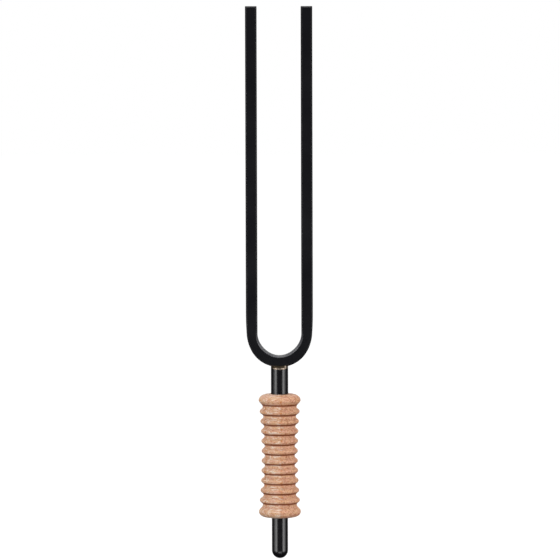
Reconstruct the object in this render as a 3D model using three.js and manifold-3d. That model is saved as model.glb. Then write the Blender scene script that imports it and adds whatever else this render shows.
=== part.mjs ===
// Tuning fork: a bow bent from one square bar, brazed to a turned stem that carries a ribbed wooden grip.
// Millimetres, +Z up. The origin is the lowest point of the round foot, on the stem's axis, and the
// prongs lie in the XZ plane.
import * as THREE from "three";
import { mergeVertices } from "three/addons/utils/BufferGeometryUtils.js";
import Module from "manifold-3d";

const wasm = await Module();
wasm.setup();

// Bow: one square bar bent into a U.
const BAR = 5.0; // side of the square bar
const PRONG_GAP = 19.0; // clear space between the prongs
const TOTAL_HEIGHT = 239.4; // tip of the foot to the ends of the prongs
const BOW_BOTTOM = 83.4; // underside of the bend, at its lowest point
const EDGE_BREAK = 0.5; // bevel along the bar's edges and across the front and back of the prong ends
const THINNING = 0.42; // how much thinner bending leaves the bar on each flank of the bend
const THINNING_AT = 15.5; // where that is, along the bar's middle line from the bottom of the bend
const THINNING_SPREAD = 6.0; // how far it spreads along the bar
const THICKENING = 0.2; // how much thicker its inner side is, most at 45 degrees round the bend
const BEND_STEPS = 36; // straight steps round the half turn of the bend

// Stem: one turned rod.
const COLLAR_RADIUS = 3.75; // above the grip
const STEM_RADIUS = 3.5; // through the grip and down to the foot, whose end is a hemisphere
const SPIGOT_RADIUS = 1.5; // locating spigot that stands in the bow
const SPIGOT_TOP = 86.1;
const SPIGOT_BREAK = 0.3;
const SOCKET_CLEARANCE = 0.3; // between the spigot and its blind socket
const FOOT_STEPS = 8; // straight steps down the curve of the foot
const STEM_SIDES = 32;

// Braze metal between the bow's round underside and the top of the collar, which is hollowed to match it.
const BRAZE_THICKNESS = 1.05;
const BRAZE_GAP = 0.3; // left open between the braze metal and the steel above and below it
const FILLET_RISE = 0.6; // how far the fillets climb the front and the back of the bar

// Grip: a turned wooden sleeve.
const GRIP_BOTTOM = 18.0;
const GRIP_TOP = 71.6;
const WAIST = 44.7; // height of the middle groove
const GROOVE_PITCH = 4.28; // from one groove to the next
const GROOVES = 11;
const WAIST_CREST = 7.86; // radius of a rib at the waist
const WAIST_GROOVE = 6.49; // radius of the groove at the waist
const CREST_FLARE = 0.040; // growth of the ribs with the square of the pitches from the waist
const GROOVE_FLARE = 0.035; // the same for the grooves
const BEAD_CREST = 0.65; // pitches from the last groove to the crest of an end bead
const END_FACE_RADIUS = 5.3; // flat part of the end faces
const TOP_SQUARENESS = 2.0; // 2 rounds the end of a bead as an ellipse, and more makes it squarer
const BOTTOM_SQUARENESS = 2.3;
const BORE_RADIUS = 3.6;
const BORE_BREAK = 0.35; // countersink at both ends of the bore
const STEPS_PER_PITCH = 6;
const END_STEPS = 6; // straight steps round each end bead, from its crest to the end face
const GRIP_SIDES = 36;

const halfBar = BAR / 2;
const bendRadius = (PRONG_GAP + BAR) / 2; // of the bar's middle line
const bendZ = BOW_BOTTOM + halfBar + bendRadius;
const lastGroove = (GROOVES - 1) / 2; // pitches from the waist

const blackBar = new THREE.MeshStandardMaterial({ color: 0x1a1a1e, roughness: 0.42, metalness: 0.0 });
const blackTurnedSteel = new THREE.MeshStandardMaterial({ color: 0x1c1b1f, roughness: 0.28, metalness: 0.0 });
const brazeMetal = new THREE.MeshStandardMaterial({ color: 0xc3b295, roughness: 0.35, metalness: 1.0 });
const turnedBeech = new THREE.MeshStandardMaterial({ color: 0xcf9f80, roughness: 0.6, metalness: 0.0 });

// Every piece is a named mesh of this group, which the file exports.
const tuningFork = new THREE.Group();

function addPiece(name, geometry, material) {
  const piece = new THREE.Mesh(geometry, material);
  piece.name = name;
  tuningFork.add(piece);
}

// The solid that a closed geometry encloses, for cutting.
function toSolid(geometry) {
  const bare = geometry.clone();
  bare.deleteAttribute("normal");
  bare.deleteAttribute("uv");
  const merged = mergeVertices(bare, 1e-4);
  const mesh = new wasm.Mesh({
    numProp: 3,
    vertProperties: new Float32Array(merged.attributes.position.array),
    triVerts: new Uint32Array(merged.index.array),
  });
  mesh.merge();
  return new wasm.Manifold(mesh);
}

// The geometry of a solid that has been cut.
function toGeometry(solid) {
  const { vertProperties, triVerts } = solid.getMesh();
  const geometry = new THREE.BufferGeometry();
  geometry.setAttribute("position", new THREE.BufferAttribute(vertProperties, 3));
  geometry.setIndex(new THREE.BufferAttribute(triVerts, 1));
  const flat = geometry.toNonIndexed();
  flat.computeVertexNormals();
  return flat;
}

// A round piece turned about Z from a list of [radius, height], from the bottom up on its outside.
function turned(profile, sides) {
  const points = profile.map(([radius, z]) => new THREE.Vector2(radius, z));
  return new THREE.LatheGeometry(points, sides).rotateX(Math.PI / 2);
}

// A plain round bar about Z between two heights.
function roundBar(radius, bottom, top, sides) {
  return turned([[0, bottom], [radius, bottom], [radius, top], [0, top]], sides);
}

// An outline in the XZ plane, given thickness along Y about the middle plane. The bevel eats into the
// outline and the thickness, so the outer sizes stay as they are drawn.
function slab(outline, thickness, bevel) {
  const geometry = new THREE.ExtrudeGeometry(outline, {
    depth: thickness - 2 * bevel,
    bevelEnabled: bevel > 0,
    bevelThickness: bevel,
    bevelSize: bevel,
    bevelOffset: -bevel,
    bevelSegments: 1,
  });
  return geometry.translate(0, 0, bevel - thickness / 2).rotateX(Math.PI / 2);
}

// How far the outer face of the bar lies from the middle line, at a distance along it from the bottom.
function outerOffset(along) {
  const fromFlank = (along - THINNING_AT) / THINNING_SPREAD;
  return halfBar - THINNING * Math.exp(-fromFlank * fromFlank);
}

// The right-hand half of the bow's outer edge, from the bottom of the bend up to the prong, with the
// bar's face at outerOffset plus a margin.
function outerEdge(margin) {
  const points = [];
  for (let i = 0; i <= BEND_STEPS / 2; i += 1) {
    const angle = (Math.PI * i) / BEND_STEPS;
    const radius = bendRadius + outerOffset(bendRadius * angle) + margin;
    points.push([radius * Math.sin(angle), bendZ - radius * Math.cos(angle)]);
  }
  const halfTurn = (bendRadius * Math.PI) / 2;
  for (let up = 1.5; up <= 3 * THINNING_SPREAD; up *= 1.7) {
    points.push([bendRadius + outerOffset(halfTurn + up) + margin, bendZ + up]);
  }
  return points;
}

// The U of the bow, drawn as one closed outline.
function bowOutline() {
  const right = outerEdge(0);
  const outerX = bendRadius + halfBar;
  const innerX = bendRadius - halfBar;
  const prongEnd = [
    [outerX, TOTAL_HEIGHT],
    [innerX, TOTAL_HEIGHT],
  ];
  const outline = new THREE.Shape();
  outline.moveTo(...right[0]);
  [...right.slice(1), ...prongEnd].forEach(([x, z]) => outline.lineTo(x, z));
  for (let i = 0; i <= BEND_STEPS; i += 1) {
    const angle = Math.PI * (0.5 - i / BEND_STEPS);
    const radius = innerX - THICKENING * Math.sin(2 * angle) ** 2;
    outline.lineTo(radius * Math.sin(angle), bendZ - radius * Math.cos(angle));
  }
  prongEnd.reverse().forEach(([x, z]) => outline.lineTo(-x, z));
  right.slice(1).reverse().forEach(([x, z]) => outline.lineTo(-x, z));
  return outline;
}

// The bent bar, with the blind socket for the stem's spigot drilled up into the bend.
function prongBow() {
  const bar = toSolid(slab(bowOutline(), BAR, EDGE_BREAK));
  const socketRadius = SPIGOT_RADIUS + SOCKET_CLEARANCE;
  const socketTop = SPIGOT_TOP + SOCKET_CLEARANCE;
  const socket = toSolid(roundBar(socketRadius, BOW_BOTTOM - BAR, socketTop, STEM_SIDES));
  return toGeometry(bar.subtract(socket));
}

// The space above a curve that runs a margin below the bow's underside, over the middle of the bend.
function aboveCurve(margin, thickness) {
  const reach = 2 * COLLAR_RADIUS;
  const edge = outerEdge(margin).filter(([x]) => x < reach);
  const outline = new THREE.Shape();
  outline.moveTo(...edge[0]);
  edge.slice(1).forEach(([x, z]) => outline.lineTo(x, z));
  outline.lineTo(reach, BOW_BOTTOM + BAR);
  outline.lineTo(-reach, BOW_BOTTOM + BAR);
  edge.slice(1).reverse().forEach(([x, z]) => outline.lineTo(-x, z));
  return toSolid(slab(outline, thickness, 0));
}

// The turned rod: round foot, long body and a collar whose top is hollowed to the curve of the bow, with
// the locating spigot standing in the hollow.
function stem() {
  const profile = [];
  for (let i = 0; i <= FOOT_STEPS; i += 1) {
    const angle = ((Math.PI / 2) * i) / FOOT_STEPS;
    profile.push([STEM_RADIUS * Math.sin(angle), STEM_RADIUS * (1 - Math.cos(angle))]);
  }
  profile.push([STEM_RADIUS, GRIP_TOP], [COLLAR_RADIUS, GRIP_TOP]);
  profile.push([COLLAR_RADIUS, BOW_BOTTOM], [0, BOW_BOTTOM]);
  const rod = toSolid(turned(profile, STEM_SIDES));
  const spigot = toSolid(turned([
    [0, GRIP_TOP],
    [SPIGOT_RADIUS, GRIP_TOP],
    [SPIGOT_RADIUS, SPIGOT_TOP - SPIGOT_BREAK],
    [SPIGOT_RADIUS - SPIGOT_BREAK, SPIGOT_TOP],
    [0, SPIGOT_TOP],
  ], STEM_SIDES));
  return toGeometry(rod.subtract(aboveCurve(BRAZE_THICKNESS, 4 * COLLAR_RADIUS)).add(spigot));
}

// The braze metal: a ring between the hollowed collar and the bow, whose front and back slope in to the
// flat faces of the bar, bored for the spigot.
function brazeFillet() {
  const bottom = BOW_BOTTOM - 2 * BRAZE_THICKNESS;
  const top = BOW_BOTTOM + FILLET_RISE;
  const boreRadius = SPIGOT_RADIUS + SOCKET_CLEARANCE;
  const sleeve = turned([
    [boreRadius, bottom],
    [COLLAR_RADIUS, bottom],
    [COLLAR_RADIUS, top],
    [boreRadius, top],
    [boreRadius, bottom],
  ], STEM_SIDES);
  const ridge = new THREE.Shape();
  ridge.moveTo(-COLLAR_RADIUS, bottom);
  ridge.lineTo(COLLAR_RADIUS, bottom);
  ridge.lineTo(COLLAR_RADIUS, BOW_BOTTOM - BRAZE_THICKNESS);
  ridge.lineTo(halfBar, top);
  ridge.lineTo(-halfBar, top);
  ridge.lineTo(-COLLAR_RADIUS, BOW_BOTTOM - BRAZE_THICKNESS);
  const sloped = toSolid(slab(ridge, 4 * COLLAR_RADIUS, 0).rotateZ(Math.PI / 2));
  const aboveCollar = aboveCurve(BRAZE_THICKNESS - BRAZE_GAP, 4 * COLLAR_RADIUS);
  const bowSpace = aboveCurve(BRAZE_GAP, BAR + 2 * BRAZE_GAP);
  return toGeometry(toSolid(sleeve).intersect(sloped).intersect(aboveCollar).subtract(bowSpace));
}

// Radius of the grip's outside at a number of pitches from its waist, out to the last groove. Crests and
// grooves each follow a parabola. Between them the surface follows a cosine wave whose flanks are steepened
// halfway towards those of a smooth step.
function ribRadius(pitches) {
  const groove = WAIST_GROOVE + GROOVE_FLARE * pitches * pitches;
  const crest = WAIST_CREST + CREST_FLARE * pitches * pitches;
  const wave = (1 - Math.cos(2 * Math.PI * pitches)) / 2;
  const steep = wave * wave * (3 - 2 * wave);
  return groove + (crest - groove) * ((wave + steep) / 2);
}

// The grip's outside from its waist to an end face at a distance from it, as [radius, distance]. The last
// groove is followed by the wider end bead, whose crest is rounded over to the end face.
function gripSide(endAt, squareness) {
  const points = [];
  for (let i = 0; i <= lastGroove * STEPS_PER_PITCH; i += 1) {
    const pitches = i / STEPS_PER_PITCH;
    points.push([ribRadius(pitches), pitches * GROOVE_PITCH]);
  }
  const grooveRadius = ribRadius(lastGroove);
  const crestAt = lastGroove + BEAD_CREST;
  const crestRadius = WAIST_CREST + CREST_FLARE * crestAt * crestAt - 0.05;
  for (let i = 1; i <= STEPS_PER_PITCH / 2 + 1; i += 1) {
    const share = i / (STEPS_PER_PITCH / 2 + 1);
    const rise = (1 - Math.cos(Math.PI * share)) / 2;
    const pitches = lastGroove + share * BEAD_CREST;
    points.push([grooveRadius + (crestRadius - grooveRadius) * rise, pitches * GROOVE_PITCH]);
  }
  const start = crestAt * GROOVE_PITCH;
  for (let i = 1; i <= END_STEPS; i += 1) {
    const angle = ((Math.PI / 2) * i) / END_STEPS;
    const inward = Math.max(Math.cos(angle), 0) ** (2 / squareness);
    const onward = Math.sin(angle) ** (2 / squareness);
    const radius = END_FACE_RADIUS + (crestRadius - END_FACE_RADIUS) * inward;
    points.push([radius, start + (endAt - start) * onward]);
  }
  return points;
}

// The turned sleeve, with a countersunk bore right through it.
function grip() {
  const below = gripSide(WAIST - GRIP_BOTTOM, BOTTOM_SQUARENESS).slice(1).reverse();
  const above = gripSide(GRIP_TOP - WAIST, TOP_SQUARENESS);
  const start = [BORE_RADIUS, GRIP_BOTTOM + BORE_BREAK];
  return turned([
    start,
    [BORE_RADIUS + BORE_BREAK, GRIP_BOTTOM],
    ...below.map(([radius, away]) => [radius, WAIST - away]),
    ...above.map(([radius, away]) => [radius, WAIST + away]),
    [BORE_RADIUS + BORE_BREAK, GRIP_TOP],
    [BORE_RADIUS, GRIP_TOP - BORE_BREAK],
    start,
  ], GRIP_SIDES);
}

addPiece("prong_bow", prongBow(), blackBar);
addPiece("stem", stem(), blackTurnedSteel);
addPiece("braze_fillet", brazeFillet(), brazeMetal);
addPiece("grip", grip(), turnedBeech);

export default tuningFork;
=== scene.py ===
"""A hand-held tuning fork: a black square-bar bow, brazed to a black turned stem with a ribbed beech grip.

Lengths written beside MM are millimetres. Heights and outer sizes come from the CAD boxes, and what is
written here is only the finer shape of each piece: its rounded edges, its coves and its filler metal.
"""
import math

import bpy
import numpy as np
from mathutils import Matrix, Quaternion, Vector


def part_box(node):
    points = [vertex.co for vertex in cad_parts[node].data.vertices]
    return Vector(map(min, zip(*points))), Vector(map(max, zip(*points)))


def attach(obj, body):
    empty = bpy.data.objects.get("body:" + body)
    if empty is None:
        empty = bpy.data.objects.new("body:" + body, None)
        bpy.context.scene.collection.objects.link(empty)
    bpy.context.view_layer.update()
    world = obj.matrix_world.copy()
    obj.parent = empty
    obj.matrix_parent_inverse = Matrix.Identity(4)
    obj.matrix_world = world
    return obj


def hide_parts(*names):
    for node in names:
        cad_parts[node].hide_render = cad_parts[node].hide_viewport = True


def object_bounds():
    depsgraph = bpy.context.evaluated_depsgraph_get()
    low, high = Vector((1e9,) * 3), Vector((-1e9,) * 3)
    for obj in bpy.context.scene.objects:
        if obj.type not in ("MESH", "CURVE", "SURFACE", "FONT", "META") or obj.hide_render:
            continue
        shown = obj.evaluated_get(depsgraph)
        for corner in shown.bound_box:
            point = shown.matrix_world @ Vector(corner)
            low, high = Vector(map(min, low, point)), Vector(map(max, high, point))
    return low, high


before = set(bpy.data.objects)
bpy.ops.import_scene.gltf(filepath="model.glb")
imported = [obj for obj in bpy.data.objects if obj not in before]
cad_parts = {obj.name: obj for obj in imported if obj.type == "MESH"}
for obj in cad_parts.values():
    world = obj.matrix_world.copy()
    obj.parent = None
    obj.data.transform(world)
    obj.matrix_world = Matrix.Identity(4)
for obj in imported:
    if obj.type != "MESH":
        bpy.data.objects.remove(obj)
cad_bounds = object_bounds()

MM = 0.001

# ---------------------------------------------------------------- sizes read from the frame

bow_low, bow_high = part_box("prong_bow")
stem_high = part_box("stem")[1]
grip_low, grip_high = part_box("grip")

BAR = bow_high[1] - bow_low[1]
HALF_BAR = BAR / 2
BEND_RADIUS = bow_high[0] - HALF_BAR  # of the bar's middle line
BOW_BOTTOM = bow_low[2]
PRONG_TOP = bow_high[2]
BEND_Z = BOW_BOTTOM + HALF_BAR + BEND_RADIUS
COLLAR_RADIUS = stem_high[0]
SPIGOT_TOP = stem_high[2]
GRIP_BOTTOM = grip_low[2]
GRIP_TOP = grip_high[2]
BEAD_RADIUS = grip_high[1]  # the widest part of the end beads

# ---------------------------------------------------------------- finer sizes of each piece

EDGE_CUT = 0.50 * MM  # bevel along the bar's edges, measured along each face
BEND_CUT = 0.85 * MM  # the same on the inner side of the bend
BEND_CUT_END = 21.5 * MM  # along the bar from the bottom of the bend, where the inner bevel is plain again
BEND_CUT_FADE = 7.0 * MM  # how far before that it starts to narrow
END_CUT = 0.50 * MM  # bevel across the front and the back of the prong ends
END_ROUND = 0.12 * MM  # radius on the other two sides of the prong ends
CORNER_ROUND = 0.12 * MM  # what the lacquer rounds off each corner of a bevel
THINNING = 0.42 * MM  # loss of thickness on each flank of the bend, on its outer side
THINNING_AT = 15.5 * MM  # its place along the bar's middle line, from the bottom of the bend
THINNING_SPREAD = 6.0 * MM
THICKENING = 0.2 * MM  # gain of thickness on the inner side, most at 45 degrees round the bend

STEM_RADIUS = 3.5 * MM
SPIGOT_RADIUS = 1.5 * MM
BRAZE_THICKNESS = 1.05 * MM  # between the hollowed collar and the bow's underside
BRAZE_CLIMB = 0.62 * MM  # how far the filler metal climbs the bar's flat faces
BRAZE_FADE = 0.7 * MM  # the way over which its upper edge passes from the underside to those faces
BRAZE_FADE_START = 0.25 * MM  # how far inside the bar's width that begins
# The filler metal is painted with shade above its bright lower band.
BRIGHT_BAND = 0.58 * MM  # height of the filler metal's bright lower band, in the middle of the front
BRIGHT_FALL = 0.06 / MM  # loss of that height, times the square of the distance sideways
SHADE_FADE = 0.25 * MM  # height over which bright turns to the brown of the painted shade
SHADE_END = 2.0 * MM  # how far to the right the painted shade keeps its full depth
SHADE_END_FADE = 0.7 * MM

WAIST = 44.7 * MM  # height of the grip's middle groove
GROOVE_PITCH = 4.28 * MM
LAST_GROOVE = 5  # pitches from the waist to the outermost grooves
BEAD_CREST = LAST_GROOVE + 0.65  # pitches from the waist to the crest of an end bead
WAIST_CREST = 7.86 * MM
WAIST_GROOVE = 6.49 * MM
CREST_FLARE = 0.040 * MM  # growth of a crest's radius, times the square of the pitches from the waist
GROOVE_FLARE = 0.035 * MM  # the same for a groove's
END_FACE_RADIUS = 5.3 * MM
TOP_SQUARENESS = 2.0  # exponent of the curve that rounds the upper bead over to its end face
BOTTOM_SQUARENESS = 2.3
BORE_RADIUS = 3.6 * MM
BORE_BREAK = 0.35 * MM  # countersink at both ends of the bore
BURNISH_SHADE_AT = 0.215  # pitches from a groove up to the middle of its dark line, burnish and painted shade
BURNISH_SHADE_HALF_WIDTH = 0.095  # in pitches
BURNISH_SHADE_DEPTH = 0.95  # share of the dark colour, burnish and painted shade, in the middle of the line

# Sides round each turned piece.
STEM_SIDES = 96
BRAZE_SIDES = 144
GRIP_SIDES = 168

# ---------------------------------------------------------------- camera and lights

CAMERA_DISTANCE = 1.7  # metres
CAMERA_ELEVATION = 3.5  # degrees above level, looking down at the fork
CAMERA_ROLL = -0.15  # degrees
CAMERA_LENS = 252.4  # in millimetres, as the sensor's width is
SENSOR_WIDTH = 36.0
CAMERA_AIM = Vector((0.31 * MM, 0, 1.40 * MM))  # from the middle of the fork's box

LIGHTS_AIM = Vector((0, 0, 0.12))  # near the middle of the fork
# Each light's azimuth and elevation in degrees, its distance, width and height in metres, and its
# radiance.
SOFTBOXES = {
    "strip_left": (-53, 6, 1.05, 0.56, 1.30, 4.2),
    "strip_right": (54, 6, 1.05, 0.54, 1.30, 4.6),
    "ceiling_box": (0, 86, 1.20, 1.00, 0.40, 3.2),
    "high_left": (-90, 48, 1.20, 0.36, 0.75, 3.6),
    "high_right": (90, 43, 1.20, 0.36, 0.95, 3.8),
    "low_front": (0, -35, 1.30, 1.20, 0.50, 2.2),
    "low_left": (-78, -13, 1.05, 0.56, 0.20, 1.4),
    "low_right": (76, -13, 1.05, 0.56, 0.20, 1.4),
    "back_fill": (180, 38, 1.30, 1.10, 0.60, 3.0),
}


# ---------------------------------------------------------------- meshes from arrays

def face_grid(rows, columns, wrap_rows):
    """Corner numbers of the four-sided faces between a grid's rows, whose columns close on themselves."""
    last = rows if wrap_rows else rows - 1
    row, column = np.meshgrid(np.arange(last), np.arange(columns), indexing="ij")
    row_on = (row + 1) % rows
    column_on = (column + 1) % columns
    corners = [row * columns + column, row * columns + column_on,
               row_on * columns + column_on, row_on * columns + column]
    return np.stack(corners, axis=-1).reshape(-1, 4)


def pole_fan(pole, ring, backwards):
    """Corner numbers of the triangles from a pole to a ring of vertices."""
    on = np.roll(ring, -1)
    corners = [np.full(ring.shape, pole), ring, on]
    if backwards:
        corners = [corners[0], on, ring]
    return np.stack(corners, axis=-1)


def make_piece(name, points, material, wrap_rows=False, uv=None, layers=None):
    """A closed piece from a grid of points: rings that close on themselves, one after another.

    With wrap_rows the last ring joins the first. Otherwise the first and the last ring each close on a
    pole at their middle. uv gives each grid point its place on the surface in millimetres, across and
    along, and layers gives named numbers for the material to read.
    """
    rows, columns = points.shape[:2]
    vertices = points.reshape(-1, 3)
    quads = face_grid(rows, columns, wrap_rows)
    triangles = np.empty((0, 3), dtype=int)
    if not wrap_rows:
        ends = np.stack([points[0].mean(axis=0), points[-1].mean(axis=0)])
        first_ring = np.arange(columns)
        last_ring = first_ring + (rows - 1) * columns
        low_fan = pole_fan(rows * columns, first_ring, True)
        high_fan = pole_fan(rows * columns + 1, last_ring, False)
        triangles = np.concatenate([low_fan, high_fan])
        vertices = np.concatenate([vertices, ends])
    mesh = bpy.data.meshes.new(name)
    mesh.vertices.add(len(vertices))
    mesh.vertices.foreach_set("co", vertices.ravel())
    loops = np.concatenate([quads.ravel(), triangles.ravel()])
    sizes = np.concatenate([np.full(len(quads), 4), np.full(len(triangles), 3)])
    mesh.loops.add(len(loops))
    mesh.loops.foreach_set("vertex_index", loops)
    mesh.polygons.add(len(sizes))
    mesh.polygons.foreach_set("loop_start", np.cumsum(sizes) - sizes)
    mesh.polygons.foreach_set("use_smooth", np.ones(len(sizes), dtype=bool))
    mesh.update(calc_edges=True)
    if uv is not None:
        add_uv(mesh, uv, quads, triangles)
    for layer, values in (layers or {}).items():
        whole = values.ravel()
        if not wrap_rows:
            whole = np.concatenate([whole, [values[0].mean(), values[-1].mean()]])
        mesh.attributes.new(layer, "FLOAT", "POINT").data.foreach_set("value", whole.astype(np.float32))
    mesh.materials.append(material)
    mesh.validate()
    piece = bpy.data.objects.new(name, mesh)
    bpy.context.scene.collection.objects.link(piece)
    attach(piece, "root")
    return piece


def add_uv(mesh, uv, quads, triangles):
    """Writes the grid's own map, in millimetres. On the face that closes each ring the way across runs on
    past the last column instead of jumping back to nought, and a pole takes its neighbours' middle."""
    columns = uv.shape[1]
    flat = uv.reshape(-1, 2)
    around = flat[:columns, 0]
    girth = 2 * around[-1] - around[-2]
    corners = flat[quads]
    closing = (quads % columns).max(axis=1) - (quads % columns).min(axis=1) > 1
    corners[..., 0] += girth * (closing[:, None] & (quads % columns == 0))
    values = [corners.reshape(-1, 2)]
    if len(triangles):
        ring = flat[triangles[:, 1:]]
        middle = ring.mean(axis=1, keepdims=True)
        values.append(np.concatenate([middle, ring], axis=1).reshape(-1, 2))
    layer = mesh.uv_layers.new(name="surface_mm")
    layer.data.foreach_set("uv", np.concatenate(values).ravel())


def arc(start, end, steps):
    """Angles from start to end in degrees, as an array in radians."""
    return np.radians(np.linspace(start, end, steps + 1))


def smooth_step(x):
    """0 below 0, 1 above 1, and 3x^2 - 2x^3 between."""
    x = np.clip(x, 0, 1)
    return x * x * (3 - 2 * x)


def revolve(profile, sides):
    """Rings about Z from a profile of (radius, height): x and y are the radius times the cosine and the
    sine of the angle round."""
    angle = np.linspace(0, 2 * np.pi, sides, endpoint=False)
    radius = profile[:, 0][:, None]
    x = radius * np.cos(angle)[None, :]
    y = radius * np.sin(angle)[None, :]
    z = np.broadcast_to(profile[:, 1][:, None], x.shape)
    return np.stack([x, y, z], axis=-1)


def rounded_corners(corners, radii, steps=6):
    """A profile through the corners given, with each one replaced by an arc of its radius.

    The arc starts and ends at radius / tan(half the corner's angle) from the corner. A point close to
    each end of every arc keeps the shading of the straight runs flat.
    """
    corners = np.asarray(corners, dtype=float)
    out = [corners[0]]
    for before, corner, after, radius in zip(corners[:-2], corners[1:-1], corners[2:], radii):
        back = (before - corner) / np.linalg.norm(before - corner)
        on = (after - corner) / np.linalg.norm(after - corner)
        half = math.acos(np.clip(back @ on, -1, 1)) / 2
        away = radius / math.tan(half)
        bisector = (back + on) / np.linalg.norm(back + on)
        centre = corner + bisector * radius / math.sin(half)
        share = np.linspace(0, 1, steps + 1)[:, None]
        chord = (corner + back * away) * (1 - share) + (corner + on * away) * share
        ray = chord - centre
        out.append(corner + back * away * 1.15)
        out.extend(centre + ray / np.linalg.norm(ray, axis=1, keepdims=True) * radius)
        out.append(corner + on * away * 1.15)
    out.append(corners[-1])
    return np.array(out)


# ---------------------------------------------------------------- materials

def linear(hex_colour):
    """An sRGB hex colour as the linear colour that a shader works in."""
    channels = [int(hex_colour[i:i + 2], 16) / 255 for i in (1, 3, 5)]
    return [c / 12.92 if c <= 0.04045 else ((c + 0.055) / 1.055) ** 2.4 for c in channels] + [1.0]


def add(tree, kind, inputs=None, **settings):
    """Adds a node to a tree, with its settings, and with a value or a link for each input named."""
    node = tree.nodes.new("ShaderNode" + kind)
    for setting, value in settings.items():
        setattr(node, setting, value)
    for key, value in (inputs or {}).items():
        if isinstance(value, bpy.types.NodeSocket):
            tree.links.new(value, node.inputs[key])
        else:
            node.inputs[key].default_value = value
    return node


def new_material(name):
    """An empty material, its tree, and a Principled shader already joined to the output."""
    material = bpy.data.materials.new(name)
    material.use_nodes = True
    tree = material.node_tree
    tree.nodes.clear()
    shader = add(tree, "BsdfPrincipled")
    add(tree, "OutputMaterial", {"Surface": shader.outputs[0]})
    return material, tree, shader


def black_lacquered_bar():
    """Cold-drawn steel bar under a thin black lacquer: near black with a faint blue cast, a satin sheen,
    faint lines along the bar from the drawing die, corners where the film has thinned to grey, a painted
    highlight that makes the inner bevel of the bend paler still, and prong ends that are duller because
    the film lies over grinding marks."""
    material, tree, shader = new_material("black lacquered drawn steel")
    surface = add(tree, "UVMap", uv_map="surface_mm").outputs[0]
    place = add(tree, "TexCoord").outputs["Object"]
    # Die lines are about 0.05 mm apart. They are drawn 0.3 mm apart and 40 mm long so that they show.
    stretched = add(tree, "Mapping", {0: surface, "Scale": (3.3, 0.025, 1.0)}).outputs[0]
    die_lines = add(tree, "TexNoise", {"Vector": stretched, "Scale": 1.0, "Detail": 3.0})
    # The film's own waviness, with humps about 1.5 mm across.
    film = add(tree, "TexNoise", {"Vector": place, "Scale": 650.0, "Detail": 2.0})
    clouds = add(tree, "TexNoise", {"Vector": place, "Scale": 60.0, "Detail": 3.0})
    gloss = add(tree, "MapRange", {0: clouds.outputs[0], 1: 0.3, 2: 0.7, 3: 0.22, 4: 0.31})
    corner = add(tree, "Attribute", attribute_name="corner").outputs["Fac"]
    patches = add(tree, "MapRange", {0: clouds.outputs[0], 1: 0.45, 2: 0.62, 3: 0.0, 4: 0.5})
    worn = add(tree, "Math", {0: corner, 1: patches.outputs[0]}, operation="MULTIPLY")
    film_colour = add(tree, "Mix", {0: worn.outputs[0], 6: linear("#0c0c10"), 7: linear("#202024")},
                      data_type="RGBA")
    # Painted highlight: the bend's inner bevels are mixed towards a paler grey, standing in for the light
    # they catch.
    bevel_highlight = add(tree, "Attribute", attribute_name="bevel_highlight").outputs["Fac"]
    colour = add(tree, "Mix", {0: bevel_highlight, 6: film_colour.outputs[2], 7: linear("#454549")},
                 data_type="RGBA")
    ground_end = add(tree, "Attribute", attribute_name="ground_end").outputs["Fac"]
    roughness = add(tree, "Math", {0: ground_end, 1: 0.35, 2: gloss.outputs[0]}, operation="MULTIPLY_ADD")
    height = add(tree, "Math", {0: die_lines.outputs[0], 1: film.outputs[0]}, operation="ADD")
    bump = add(tree, "Bump", {"Strength": 0.25, "Distance": 0.00003, "Height": height.outputs[0]})
    tree.links.new(colour.outputs[2], shader.inputs["Base Color"])
    tree.links.new(roughness.outputs[0], shader.inputs["Roughness"])
    tree.links.new(bump.outputs[0], shader.inputs["Normal"])
    return material


def black_lacquered_turned_rod():
    """Turned and polished rod under the same lacquer: glossier than the bar, with fine rings left by the
    lathe that soften the long reflections a little."""
    material, tree, shader = new_material("black lacquered turned steel")
    place = add(tree, "TexCoord").outputs["Object"]
    # Lathe feed marks are 0.1 mm apart. They are drawn 0.35 mm apart so that they show.
    squashed = add(tree, "Mapping", {0: place, "Scale": (60.0, 60.0, 2900.0)}).outputs[0]
    rings = add(tree, "TexNoise", {"Vector": squashed, "Scale": 1.0, "Detail": 2.0})
    clouds = add(tree, "TexNoise", {"Vector": place, "Scale": 220.0, "Detail": 3.0})
    gloss = add(tree, "MapRange", {0: clouds.outputs[0], 1: 0.3, 2: 0.7, 3: 0.18, 4: 0.27})
    bump = add(tree, "Bump", {"Strength": 0.2, "Distance": 0.00003, "Height": rings.outputs[0]})
    shader.inputs["Base Color"].default_value = linear("#0d0c0f")
    tree.links.new(gloss.outputs[0], shader.inputs["Roughness"])
    tree.links.new(bump.outputs[0], shader.inputs["Normal"])
    return material


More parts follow.
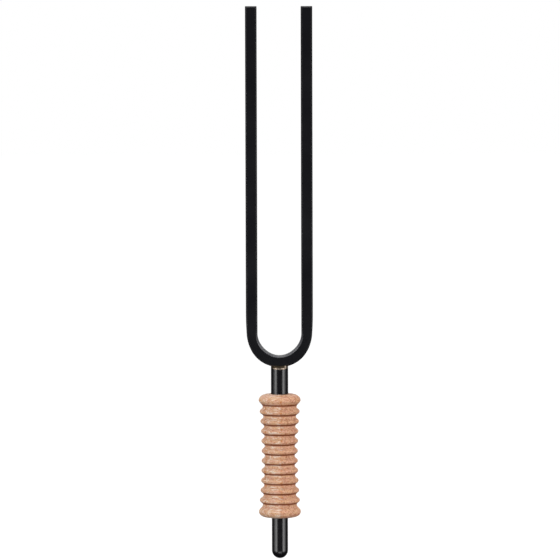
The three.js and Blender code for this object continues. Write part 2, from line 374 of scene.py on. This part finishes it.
def bare_braze_metal():
    """Silver-bearing brazing alloy left as it flowed: a smooth pale gold-grey, darkened to brown by
    painted shade where it runs in under the bow and climbs the bar."""
    material, tree, shader = new_material("bare brazing alloy")
    place = add(tree, "TexCoord").outputs["Object"]
    # Heat stains are 0.5 to 1 mm across, and the flowed skin ripples at about 0.4 mm.
    stains = add(tree, "TexNoise", {"Vector": place, "Scale": 1300.0, "Detail": 3.0})
    share = add(tree, "MapRange", {0: stains.outputs[0], 1: 0.42, 2: 0.66, 3: 0.0, 4: 0.7})
    colour = add(tree, "Mix", {0: share.outputs[0], 6: linear("#a5978a"), 7: linear("#7d6b58")},
                 data_type="RGBA")
    # Painted shade: the skin's upper part, in under the bow, is mixed towards a dark brown.
    braze_shade = add(tree, "Attribute", attribute_name="braze_shade").outputs["Fac"]
    darkened_colour = add(tree, "Mix", {0: braze_shade, 6: colour.outputs[2], 7: linear("#3d3428")},
                  data_type="RGBA")
    dulled = add(tree, "MapRange", {0: braze_shade, 1: 0.0, 2: 1.0, 3: 0.40, 4: 0.60})
    ripples = add(tree, "TexNoise", {"Vector": place, "Scale": 2400.0, "Detail": 1.0})
    bump = add(tree, "Bump", {"Strength": 0.3, "Distance": 0.00005, "Height": ripples.outputs[0]})
    shader.inputs["Metallic"].default_value = 1.0
    tree.links.new(darkened_colour.outputs[2], shader.inputs["Base Color"])
    tree.links.new(dulled.outputs[0], shader.inputs["Roughness"])
    tree.links.new(bump.outputs[0], shader.inputs["Normal"])
    return material


def turned_beech():
    """Steamed beech, turned, sanded and oiled: pinkish tan, mottled with paler yellow. One growth ring
    shows as an orange line. Ray flecks are pale on the quarter-sawn face, a little left of the front, and
    turn to fine dark dashes towards the right. The under flank of each rib, just above a groove, is
    darkened red-brown: partly the tool's burnish, partly painted shade where the rib overhangs the groove."""
    material, tree, shader = new_material("oiled turned beech")
    place = add(tree, "TexCoord").outputs["Object"]
    # The blank's own directions: X square to the rings, Y along them, Z along the grain.
    blank = add(tree, "Mapping", {0: place, "Rotation": (0.0, 0.0, math.radians(15))}).outputs[0]
    across = add(tree, "SeparateXYZ", {0: blank}).outputs[0]
    # Rings are 7.5 mm apart, one of them 2.7 mm from the axis, wandering by 0.5 mm.
    wander = add(tree, "Mapping", {0: blank, "Scale": (120.0, 120.0, 60.0)}).outputs[0]
    sway = add(tree, "TexNoise", {"Vector": wander, "Scale": 1.0, "Detail": 2.0})
    offset = add(tree, "Math", {0: sway.outputs[0], 1: 0.0012, 2: across}, operation="MULTIPLY_ADD")
    count = add(tree, "Math", {0: offset.outputs[0], 1: 1 / 0.0075, 2: 0.493}, operation="MULTIPLY_ADD")
    ring = add(tree, "Math", {0: count.outputs[0]}, operation="FRACT")
    late = add(tree, "MapRange", {0: ring.outputs[0], 1: 0.79, 2: 0.95, 3: 0.0, 4: 1.0},
               interpolation_type="SMOOTHERSTEP")
    broken = add(tree, "TexNoise", {"Vector": blank, "Scale": 1300.0, "Detail": 2.0})
    breaks = add(tree, "MapRange", {0: broken.outputs[0], 1: 0.40, 2: 0.60, 3: 0.1, 4: 0.85})
    line = add(tree, "Math", {0: late.outputs[0], 1: breaks.outputs[0]}, operation="MULTIPLY")
    # Rays: ribbons in the plane of X and Z, 3 mm long, 0.75 mm high and 0.5 mm thick.
    ribbon = add(tree, "Mapping", {0: blank, "Scale": (300.0, 1900.0, 1350.0)}).outputs[0]
    ray = add(tree, "TexNoise", {"Vector": ribbon, "Scale": 1.0, "Detail": 2.0})
    fleck = add(tree, "MapRange", {0: ray.outputs[0], 1: 0.51, 2: 0.62, 3: 0.0, 4: 1.0})
    plain_sawn = add(tree, "MapRange", {0: across, 1: 0.0018, 2: 0.0042, 3: 0.0, 4: 1.0})
    ray_colour = add(tree, "Mix", {0: plain_sawn.outputs[0], 6: linear("#dcc8b4"), 7: linear("#a46c4c")},
                     data_type="RGBA")
    # Pores: 0.1 mm across and 0.6 mm long, drawn 0.35 mm across so that they show.
    fibre = add(tree, "Mapping", {0: blank, "Scale": (2800.0, 2800.0, 1700.0)}).outputs[0]
    pore = add(tree, "TexNoise", {"Vector": fibre, "Scale": 1.0, "Detail": 3.0})
    dark = add(tree, "MapRange", {0: pore.outputs[0], 1: 0.52, 2: 0.68, 3: 0.0, 4: 0.7})
    # Mottling: clouds 3 mm wide and 1 mm high from pinkish to yellowish, and 0.7 mm spots of orange.
    flattened = add(tree, "Mapping", {0: place, "Scale": (320.0, 320.0, 1000.0)}).outputs[0]
    cloud = add(tree, "TexNoise", {"Vector": flattened, "Scale": 1.0, "Detail": 2.0})
    warm = add(tree, "MapRange", {0: cloud.outputs[0], 1: 0.36, 2: 0.64, 3: 0.0, 4: 1.0})
    ground = add(tree, "Mix", {0: warm.outputs[0], 6: linear("#cb9b84"), 7: linear("#cfa681")},
                 data_type="RGBA")
    spots = add(tree, "TexNoise", {"Vector": place, "Scale": 1500.0, "Detail": 1.0})
    spot = add(tree, "MapRange", {0: spots.outputs[0], 1: 0.55, 2: 0.68, 3: 0.0, 4: 0.8})
    spotted = add(tree, "Mix", {0: spot.outputs[0], 6: ground.outputs[2], 7: linear("#b47248")},
                  data_type="RGBA")
    ringed = add(tree, "Mix", {0: line.outputs[0], 6: spotted.outputs[2], 7: linear("#b87138")},
                 data_type="RGBA")
    flecked = add(tree, "Mix", {0: fleck.outputs[0], 6: ringed.outputs[2], 7: ray_colour.outputs[2]},
                  data_type="RGBA")
    pored = add(tree, "Mix", {0: dark.outputs[0], 6: flecked.outputs[2], 7: linear("#9c6041")},
                data_type="RGBA")
    # Painted shade and burnish: each rib's under flank, above its groove, is mixed towards a dark
    # red-brown.
    groove = add(tree, "Attribute", attribute_name="burnish_and_shade").outputs["Fac"]
    colour = add(tree, "Mix", {0: groove, 6: pored.outputs[2], 7: linear("#6b2a04")}, data_type="RGBA")
    # Tool marks run round the grip, about 0.3 mm apart.
    turned = add(tree, "Mapping", {0: place, "Scale": (50.0, 50.0, 3300.0)}).outputs[0]
    marks = add(tree, "TexNoise", {"Vector": turned, "Scale": 1.0, "Detail": 1.0})
    height = add(tree, "Math", {0: pore.outputs[0], 1: -1.0, 2: marks.outputs[0]},
                 operation="MULTIPLY_ADD")
    bump = add(tree, "Bump", {"Strength": 0.35, "Distance": 0.0001, "Height": height.outputs[0]})
    gloss = add(tree, "MapRange", {0: pore.outputs[0], 1: 0.3, 2: 0.7, 3: 0.48, 4: 0.68})
    shader.inputs["Specular IOR Level"].default_value = 0.3  # open pores break up half of the oil's sheen
    tree.links.new(colour.outputs[2], shader.inputs["Base Color"])
    tree.links.new(gloss.outputs[0], shader.inputs["Roughness"])
    tree.links.new(bump.outputs[0], shader.inputs["Normal"])
    return material


def lit_white_acrylic():
    """A light table's sheet of opal acrylic: matt white, glowing evenly from below."""
    material, tree, shader = new_material("opal acrylic lit from below")
    place = add(tree, "TexCoord").outputs["Object"]
    grain = add(tree, "TexNoise", {"Vector": place, "Scale": 30.0, "Detail": 4.0})
    gloss = add(tree, "MapRange", {0: grain.outputs[0], 1: 0.3, 2: 0.7, 3: 0.85, 4: 0.95})
    # Its own colour is kept dark, so that it is the glow that shows and not the lights above it.
    shader.inputs["Base Color"].default_value = linear("#303030")
    shader.inputs["Emission Color"].default_value = (1.0, 1.0, 1.0, 1.0)
    shader.inputs["Emission Strength"].default_value = 0.98
    tree.links.new(gloss.outputs[0], shader.inputs["Roughness"])
    return material


# ---------------------------------------------------------------- bow

def outer_thickness(along):
    """Half the bar on the outside of the middle line, less a Gaussian dip on each flank of the bend."""
    from_flank = (np.abs(along) - THINNING_AT) / THINNING_SPREAD
    return HALF_BAR - THINNING * np.exp(-from_flank ** 2)


def bevelled_square(inner_cut):
    """A square section with bevelled corners, those on the inner side of the bend cut by inner_cut.

    For each point come two more numbers: 1 on a corner and 0 on the flats, and 1 on an inner bevel and 0
    on the faces beside it."""
    h = HALF_BAR
    outer = h - EDGE_CUT
    inner = h - inner_cut
    corners = [(h, 0), (h, outer), (outer, h), (-inner, h), (-h, inner), (-h, -inner), (-inner, -h),
               (outer, -h), (h, -outer), (h, 0)]
    section = rounded_corners(corners, [CORNER_ROUND] * 8, steps=4)[:-1]
    # After the first point each of the 8 corners has 7: one before its arc, 5 on it and one after.
    on_corner = np.concatenate([[0], np.tile([0, 1, 1, 1, 1, 1, 0], 8)])
    # The inner bevels lie between the third and the fourth corner, and the fifth and the sixth.
    onto = np.array([0, 0, 0.25, 0.5, 0.75, 1, 1])
    inner_bevel = np.concatenate([np.zeros(15), onto, onto[::-1], onto, onto[::-1], np.zeros(14)])
    return section, on_corner, inner_bevel


def bow_stations():
    """Places along the bar's middle line from one prong end to the other, each with the width (across
    the prong gap) and the depth (along Y) of its section as shares of the bar's.

    Both are whole along the bar. At a prong end the depth follows the end's bevel and the width a small
    rounding, and then both close in on the end face.
    """
    half_turn = BEND_RADIUS * np.pi / 2
    length = half_turn + PRONG_TOP - BEND_Z
    # The sections stand close together round the bend and 12 mm past it, and further apart above that.
    bend = np.linspace(0, half_turn + 12 * MM, 90)
    prong = np.linspace(bend[-1], length - 2 * MM, 60)[1:]
    bevel = rounded_corners(
        [(length - 1.5 * MM, HALF_BAR), (length - END_CUT, HALF_BAR), (length, HALF_BAR - END_CUT),
         (length, 0.1 * HALF_BAR)], [CORNER_ROUND] * 2, steps=4)
    turned = np.clip((bevel[:, 0] - length) / END_ROUND + 1, 0, 1)
    on_face = bevel[:, 1] < HALF_BAR - END_CUT
    rounding = 1 - (1 - np.sqrt(1 - turned ** 2)) * END_ROUND / HALF_BAR
    closing = np.where(on_face, bevel[:, 1] / (HALF_BAR - END_CUT), 1)
    whole = np.ones(len(bend) + len(prong))
    along = np.concatenate([bend, prong, bevel[:, 0]])
    width = np.concatenate([whole, rounding * closing])
    depth = np.concatenate([whole, bevel[:, 1] / HALF_BAR])
    return [np.concatenate([sign * half[:0:-1], half])
            for sign, half in ((-1, along), (1, width), (1, depth))]


def prong_bow(material):
    """A bevelled square section carried along a U.

    The middle line turns through a half circle and runs straight up both prongs. At each place along it
    the section is spanned by the outward normal of the line and by Y. Along the bend the section mixes
    towards one whose inner bevels are wider. The layers are 1 on corners, on the inner bevels of the bend,
    which carry a painted highlight, and on the ground prong ends.
    """
    along, width, depth = bow_stations()
    plain, corner, inner_bevel = bevelled_square(EDGE_CUT)
    bent = bevelled_square(BEND_CUT)[0]
    share = smooth_step((BEND_CUT_END - np.abs(along)) / BEND_CUT_FADE)[:, None, None]
    section = plain * (1 - share) + bent * share
    angle = np.clip(along / BEND_RADIUS, -np.pi / 2, np.pi / 2)
    rise = np.maximum(np.abs(along) - BEND_RADIUS * np.pi / 2, 0)
    inner_thickness = HALF_BAR + THICKENING * np.sin(2 * angle) ** 2
    thickness = np.where(section[..., 0] > 0, outer_thickness(along)[:, None],
                         inner_thickness[:, None]) / HALF_BAR
    from_line = section[..., 0] * thickness * width[:, None]
    x = (BEND_RADIUS + from_line) * np.sin(angle)[:, None]
    z = BEND_Z + rise[:, None] - (BEND_RADIUS + from_line) * np.cos(angle)[:, None]
    y = section[..., 1] * depth[:, None]
    points = np.stack([x, y, z], axis=-1)
    steps = np.linalg.norm(np.diff(plain, axis=0), axis=1)
    around = np.concatenate([[0], np.cumsum(steps)]) / MM
    uv = np.stack(np.broadcast_arrays(around[None, :], along[:, None] / MM), axis=-1)
    on_corner = np.broadcast_to(corner.astype(float), x.shape)
    # Where the painted highlight goes: the inner bevels of the bend, fading out along the bar.
    bevel_highlight = inner_bevel * share[..., 0]
    on_end = smooth_step((np.abs(along) - along.max() + END_CUT) / END_CUT)
    ground_end = np.broadcast_to(on_end[:, None], x.shape)
    piece = make_piece("bow_of_square_bar", points, material, uv=uv,
                       layers={"corner": on_corner, "bevel_highlight": bevel_highlight, "ground_end": ground_end})
    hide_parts("prong_bow")


# ---------------------------------------------------------------- stem and braze

def underside_rise(x):
    """Height of the bow's round underside at a distance x from the middle, above its lowest point."""
    radius = BEND_RADIUS + HALF_BAR
    return radius - np.sqrt(radius ** 2 - x ** 2)


def stem(material):
    """A profile turned about Z: hemisphere, long body, collar and spigot. The collar's end follows the
    bow's underside: that curve's rise is added to its heights, by a share that grows evenly from 0 at the
    collar's foot to 1 at its end."""
    foot = arc(0.5, 88, 24)
    dome = np.stack([STEM_RADIUS * np.sin(foot), STEM_RADIUS * (1 - np.cos(foot))], axis=-1)
    top = BOW_BOTTOM - BRAZE_THICKNESS
    rounding = [0.05 * MM, 0.05 * MM, 0.06 * MM, 0.1 * MM, 0.3 * MM]
    body = rounded_corners(
        [(STEM_RADIUS, STEM_RADIUS), (STEM_RADIUS, GRIP_TOP), (COLLAR_RADIUS, GRIP_TOP),
         (COLLAR_RADIUS, top), (SPIGOT_RADIUS, top), (SPIGOT_RADIUS, SPIGOT_TOP), (0.2 * MM, SPIGOT_TOP)],
        rounding)
    profile = np.concatenate([dome, body])
    points = revolve(profile, STEM_SIDES)
    share = np.clip((profile[:, 1] - GRIP_TOP) / (top - GRIP_TOP), 0, 1)
    on_spigot = profile[:, 1] > top + 0.12 * MM
    share[on_spigot] = 0
    points[..., 2] += share[:, None] * underside_rise(points[..., 0])
    piece = make_piece("turned_stem", points, material)
    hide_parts("stem")


def braze_fillet(material):
    """A ring of filler between the hollowed collar and the bow.

    Round the stem, its lower edge follows the collar's rim and its upper edge the bow's underside, or
    the flat faces of the bar where the stem stands proud of them. Between the two the skin follows a
    quarter of an ellipse, upright at the rim. Inside, the ring closes along both pieces of steel. The
    layer of painted shade darkens the skin above a bright lower band: most where it climbs the bar, but
    not at the right-hand end of the wedge, which is left bright where the light catches it.
    """
    angle = np.linspace(0, 2 * np.pi, BRAZE_SIDES, endpoint=False)
    cosine = np.maximum(np.abs(np.cos(angle)), 1e-6)
    rim = COLLAR_RADIUS - 0.01 * MM
    proud = smooth_step((COLLAR_RADIUS * cosine - HALF_BAR + BRAZE_FADE_START) / BRAZE_FADE)
    reach = np.minimum(HALF_BAR / cosine, rim) * proud + (rim - 0.08 * MM) * (1 - proud)
    inner = np.full(angle.shape, SPIGOT_RADIUS + 0.1 * MM)
    on_collar = np.full(angle.shape, rim - 0.3 * MM)
    on_bow = np.minimum(reach, rim - 0.8 * MM)
    low = np.full(angle.shape, BOW_BOTTOM - BRAZE_THICKNESS + 0.02 * MM)
    high = np.full(angle.shape, BOW_BOTTOM - 0.01 * MM)
    skin = arc(0, 90, 14)[:, None]
    skin_radius = reach + (rim - reach) * np.cos(skin)
    skin_height = low + (high + proud * BRAZE_CLIMB - low) * np.sin(skin)
    radius = np.array([inner, on_collar, *skin_radius, on_bow, inner]).T
    height = np.array([low, low, *skin_height, high, high]).T
    x = radius * np.sin(angle)[:, None]
    y = radius * np.cos(angle)[:, None]
    points = np.stack([x, y, height + underside_rise(x)], axis=-1)
    # Painted shade above the bright lower band, left off at the right-hand end, where the light catches
    # the ring.
    bright = BRIGHT_BAND - BRIGHT_FALL * x ** 2
    climbed = smooth_step((height - low[:, None] - bright) / SHADE_FADE)
    braze_shade = climbed * (1 - smooth_step((x - SHADE_END) / SHADE_END_FADE))
    piece = make_piece("braze_ring", points, material, wrap_rows=True,
                       layers={"braze_shade": braze_shade})
    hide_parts("braze_fillet")


# ---------------------------------------------------------------- grip

def rib_wave(pitches):
    """0 in a groove and 1 on a crest: a cosine wave, its flanks steepened halfway to a smooth step's."""
    wave = (1 - np.cos(2 * np.pi * pitches)) / 2
    return (wave + smooth_step(wave)) / 2


def grip_side(end_at, squareness):
    """Radius and pitches from the waist, of the grip's outside from its waist to an end face that is
    end_at pitches away.

    Crests and grooves each follow a parabola, and rib_wave runs between them. Past the last groove a
    wider bead rises to its crest, and a superellipse rounds it over to the end face.
    """
    ribs = np.linspace(0, LAST_GROOVE, 24 * LAST_GROOVE + 1)
    bead = np.linspace(LAST_GROOVE, BEAD_CREST, 15)[1:]
    turn = arc(0, 90, 26)[1:]
    crest = WAIST_CREST + CREST_FLARE * ribs ** 2
    groove = WAIST_GROOVE + GROOVE_FLARE * ribs ** 2
    bead_share = (1 - np.cos(np.pi * (bead - LAST_GROOVE) / (BEAD_CREST - LAST_GROOVE))) / 2
    inward = np.maximum(np.cos(turn), 0) ** (2 / squareness)
    onward = np.sin(turn) ** (2 / squareness)
    radius = np.concatenate([
        groove + (crest - groove) * rib_wave(ribs),
        groove[-1] + (BEAD_RADIUS - groove[-1]) * bead_share,
        END_FACE_RADIUS + (BEAD_RADIUS - END_FACE_RADIUS) * inward])
    return radius, np.concatenate([ribs, bead, BEAD_CREST + (end_at - BEAD_CREST) * onward])


def grip_outside():
    """Radius, height and the share of a dark line along the grip's outside, from the bottom face to the
    top face. The dark line lies on the under flank of each rib, just above a groove: partly the tool's
    burnish, partly painted shade under the rib."""
    radius_below, below = grip_side((WAIST - GRIP_BOTTOM) / GROOVE_PITCH, BOTTOM_SQUARENESS)
    radius_above, above = grip_side((GRIP_TOP - WAIST) / GROOVE_PITCH, TOP_SQUARENESS)
    radius = np.concatenate([radius_below[:0:-1], radius_above])
    pitches = np.concatenate([-below[:0:-1], above])
    # The dark line under each rib: partly burnish, partly painted shade.
    nearest = np.clip(np.round(pitches - BURNISH_SHADE_AT), -LAST_GROOVE, LAST_GROOVE)
    from_line = (pitches - nearest - BURNISH_SHADE_AT) / BURNISH_SHADE_HALF_WIDTH
    return radius, WAIST + pitches * GROOVE_PITCH, BURNISH_SHADE_DEPTH * np.exp(-from_line ** 4)


def grip(material):
    """The outside profile and a countersunk bore, turned about Z as one closed ring."""
    radius, height, burnish_and_shade = grip_outside()
    on_end_face = END_FACE_RADIUS - 0.2 * MM
    bore = rounded_corners(
        [(on_end_face, GRIP_TOP), (BORE_RADIUS + BORE_BREAK, GRIP_TOP),
         (BORE_RADIUS, GRIP_TOP - BORE_BREAK), (BORE_RADIUS, GRIP_BOTTOM + BORE_BREAK),
         (BORE_RADIUS + BORE_BREAK, GRIP_BOTTOM), (on_end_face, GRIP_BOTTOM)],
        [0.1 * MM] * 4, steps=3)
    profile = np.concatenate([np.stack([radius, height], axis=-1), bore])
    burnish_and_shade = np.concatenate([burnish_and_shade, np.zeros(len(bore))])
    points = revolve(profile, GRIP_SIDES)
    layers = {"burnish_and_shade": np.broadcast_to(burnish_and_shade[:, None], points.shape[:2])}
    piece = make_piece("ribbed_grip", points, material, wrap_rows=True, layers=layers)
    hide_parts("grip")


# ---------------------------------------------------------------- camera, lights and floor

def toward(azimuth, elevation):
    """The direction from the fork at an azimuth and an elevation in degrees. Azimuth 0 is the camera's
    side, and it grows to the right."""
    a = math.radians(azimuth)
    e = math.radians(elevation)
    return Vector((math.sin(a) * math.cos(e), -math.cos(a) * math.cos(e), math.sin(e)))


def add_camera():
    """A long lens 1.7 m away and a little above, turned by a sixth of a degree."""
    middle = Vector((0.0, 0.0, (cad_bounds[0][2] + cad_bounds[1][2]) / 2))
    target = middle + CAMERA_AIM
    data = bpy.data.cameras.new("camera")
    data.lens = CAMERA_LENS
    data.sensor_width = SENSOR_WIDTH
    camera = bpy.data.objects.new("camera", data)
    camera.location = target + CAMERA_DISTANCE * toward(0, CAMERA_ELEVATION)
    aim = (target - camera.location).to_track_quat("-Z", "Y")
    camera.rotation_mode = "QUATERNION"
    camera.rotation_quaternion = aim @ Quaternion((0, 0, 1), math.radians(CAMERA_ROLL))
    bpy.context.scene.collection.objects.link(camera)
    bpy.context.scene.camera = camera


def add_softbox(name, azimuth, elevation, distance, width, height, radiance):
    """A rectangular light that faces the middle of the fork, as bright as radiance wherever it is seen."""
    data = bpy.data.lights.new(name, "AREA")
    data.shape = "RECTANGLE"
    data.size = width
    data.size_y = height
    data.energy = radiance * math.pi * width * height
    light = bpy.data.objects.new(name, data)
    direction = toward(azimuth, elevation)
    light.location = LIGHTS_AIM + distance * direction
    light.rotation_euler = direction.to_track_quat("Z", "Y").to_euler()
    bpy.context.scene.collection.objects.link(light)


def add_world():
    """A white room to the eye. What the fork gets from it is a dim grey, dark below the horizon, with a
    pale backdrop behind it."""
    world = bpy.data.worlds.new("white room")
    world.use_nodes = True
    tree = world.node_tree
    tree.nodes.clear()
    normal = add(tree, "TexCoord").outputs["Generated"]
    direction = add(tree, "SeparateXYZ", {0: normal}).outputs
    fill = add(tree, "MapRange", {0: direction[2], 1: -0.3, 2: 0.5, 3: 0.015, 4: 0.16})
    backdrop = add(tree, "MapRange", {0: direction[1], 1: 0.75, 2: 0.95, 3: 0.0, 4: 0.45})
    dim = add(tree, "Math", {0: fill.outputs[0], 1: backdrop.outputs[0]}, operation="ADD")
    seen = add(tree, "LightPath").outputs["Is Camera Ray"]
    strength = add(tree, "Mix", {0: seen, 2: dim.outputs[0], 3: 1.0}, data_type="FLOAT")
    background = add(tree, "Background", {0: (1, 1, 1, 1), 1: strength.outputs[0]})
    add(tree, "OutputWorld", {0: background.outputs[0]})
    bpy.context.scene.world = world


def add_floor():
    """A wide light table under the foot. Its sheet is kept out of the fork's reflections and of the light
    on the undersides of the ribs, as a black card round the foot would keep it."""
    mesh = bpy.data.meshes.new("floor")
    half = 6.0
    corners = [(-half, -half, 0), (half, -half, 0), (half, half, 0), (-half, half, 0)]
    mesh.from_pydata(corners, [], [(0, 1, 2, 3)])
    mesh.materials.append(lit_white_acrylic())
    floor = bpy.data.objects.new("floor", mesh)
    floor.visible_diffuse = False
    floor.visible_glossy = False
    floor.visible_shadow = False
    bpy.context.scene.collection.objects.link(floor)


add_camera()
add_world()
add_floor()
for box_name, setting in SOFTBOXES.items():
    add_softbox(box_name, *setting)
bpy.context.scene.view_settings.view_transform = "Standard"

prong_bow(black_lacquered_bar())
stem(black_lacquered_turned_rod())
braze_fillet(bare_braze_metal())
grip(turned_beech())
